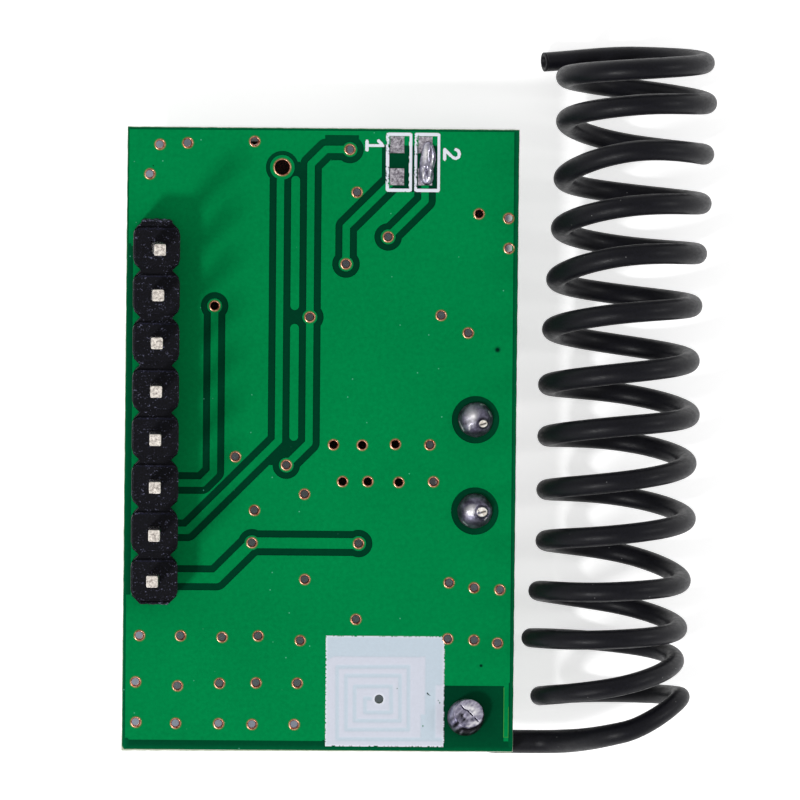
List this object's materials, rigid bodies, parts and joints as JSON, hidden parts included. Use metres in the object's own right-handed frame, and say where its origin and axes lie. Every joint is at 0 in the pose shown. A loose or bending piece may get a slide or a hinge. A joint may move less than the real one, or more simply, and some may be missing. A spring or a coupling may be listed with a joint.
{
  "type": "superheterodyne receiver module",
  "caption": "Small green radio receiver board, solder side up, with a pin header, solder jumpers, crystal joints and a wound wire antenna beside it.",
  "frame": {"origin": "middle of the pin header row, on the board's solder face", "axes": "+Z out of the solder face along the header pins, +X across the board towards the wound antenna, +Y along the header row towards pin 1"},
  "size_m": [0.0315, 0.038, 0.0134],
  "materials": {
    "mask_green": "satin solder mask over glass laminate",
    "masked_copper": "satin solder mask over copper",
    "white_ink": "screen-printed ink",
    "tinned_pad": "dull tin",
    "solder": "shiny solder",
    "header_plastic": "moulded, satin",
    "pin_metal": "tinned, sheared ends",
    "wire_jacket": "soft jacket, satin",
    "bare_wire": "tinned copper",
    "crystal_case": "drawn metal can",
    "chip_resin": "moulded resin",
    "lead_metal": "tinned",
    "capacitor_plastic": "moulded",
    "can_aluminium": "drawn can",
    "ceramic_tan": "fired ceramic",
    "resistor_glaze": "glazed",
    "inductor_ceramic": "fired ceramic",
    "end_tin": "tinned"
  },
  "bodies": {
    "root": {"circuit_board": "mask_green", "ground_pour": "masked_copper", "signal_tracks": "masked_copper", "spiral_inductor": "masked_copper", "legend_block": "white_ink", "jumper_frames": "white_ink", "jumper_pads": "tinned_pad", "solder_bridge": "solder", "header_housing": "header_plastic", "header_pin_1": "pin_metal", "header_pin_2": "pin_metal", "header_pin_3": "pin_metal", "header_pin_4": "pin_metal", "header_pin_5": "pin_metal", "header_pin_6": "pin_metal", "header_pin_7": "pin_metal", "header_pin_8": "pin_metal", "header_fillets": "solder", "antenna_coil": "wire_jacket", "antenna_tail": "bare_wire", "antenna_joint": "solder", "crystal_base": "crystal_case", "crystal_can": "crystal_case", "crystal_leads": "bare_wire", "crystal_joint_upper": "solder", "crystal_joint_lower": "solder", "receiver_chip_body": "chip_resin", "receiver_chip_leads": "lead_metal", "decoder_chip_body": "chip_resin", "decoder_chip_leads": "lead_metal", "regulator_body": "chip_resin", "regulator_leads": "lead_metal", "capacitor_base": "capacitor_plastic", "capacitor_can": "can_aluminium", "capacitor_feet": "lead_metal", "chip_capacitors": "ceramic_tan", "chip_capacitor_ends": "end_tin", "chip_resistors": "resistor_glaze", "chip_resistor_ends": "end_tin", "chip_inductor": "inductor_ceramic", "chip_inductor_ends": "end_tin"}
  },
  "joints": []
}
